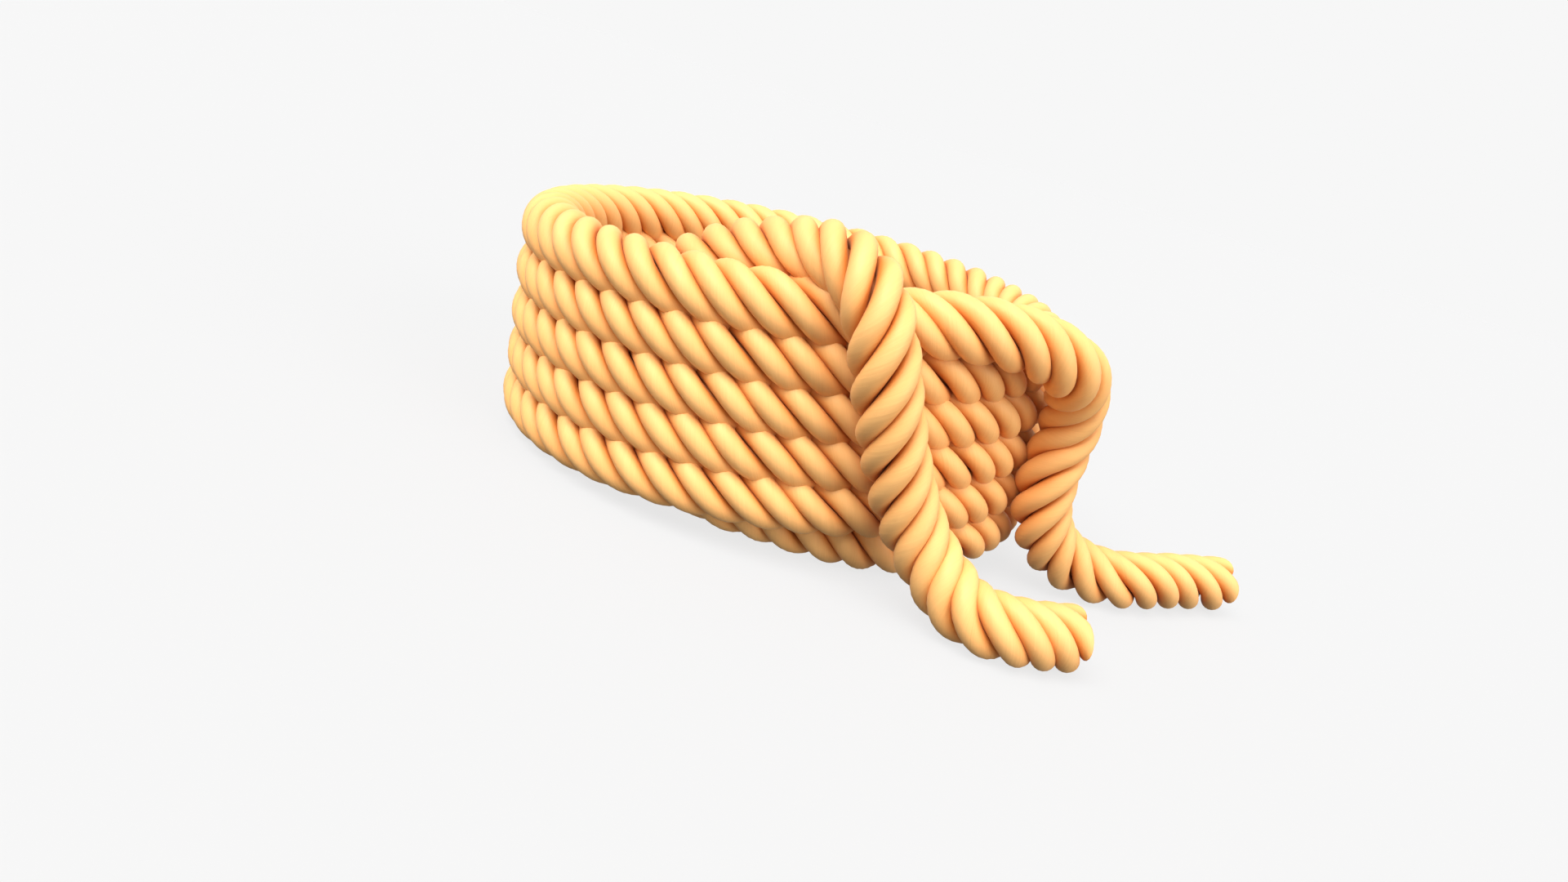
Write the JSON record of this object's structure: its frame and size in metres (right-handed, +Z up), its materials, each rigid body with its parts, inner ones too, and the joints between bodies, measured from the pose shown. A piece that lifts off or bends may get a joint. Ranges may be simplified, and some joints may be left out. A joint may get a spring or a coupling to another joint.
{
  "type": "coiled dock line",
  "caption": "Short laid mooring rope wound as a leaning single-wall oval coil, one end brought up over the rim and hung down in front, the other run out to one side, both cut bare.",
  "frame": {"origin": "centre of the whole object's box in X and Y, on the surface it stands on", "axes": "+Z is up; +X is along the coil's long side, towards the side where both ends lie; the viewer of the picture stands on the -Y side"},
  "size_m": [0.3354, 0.2306, 0.1204],
  "materials": {
    "rope": "laid yarn, soft, slightly glossy"
  },
  "bodies": {
    "root": {"coil": "rope", "inside_end": "rope", "outside_end": "rope"}
  },
  "joints": []
}
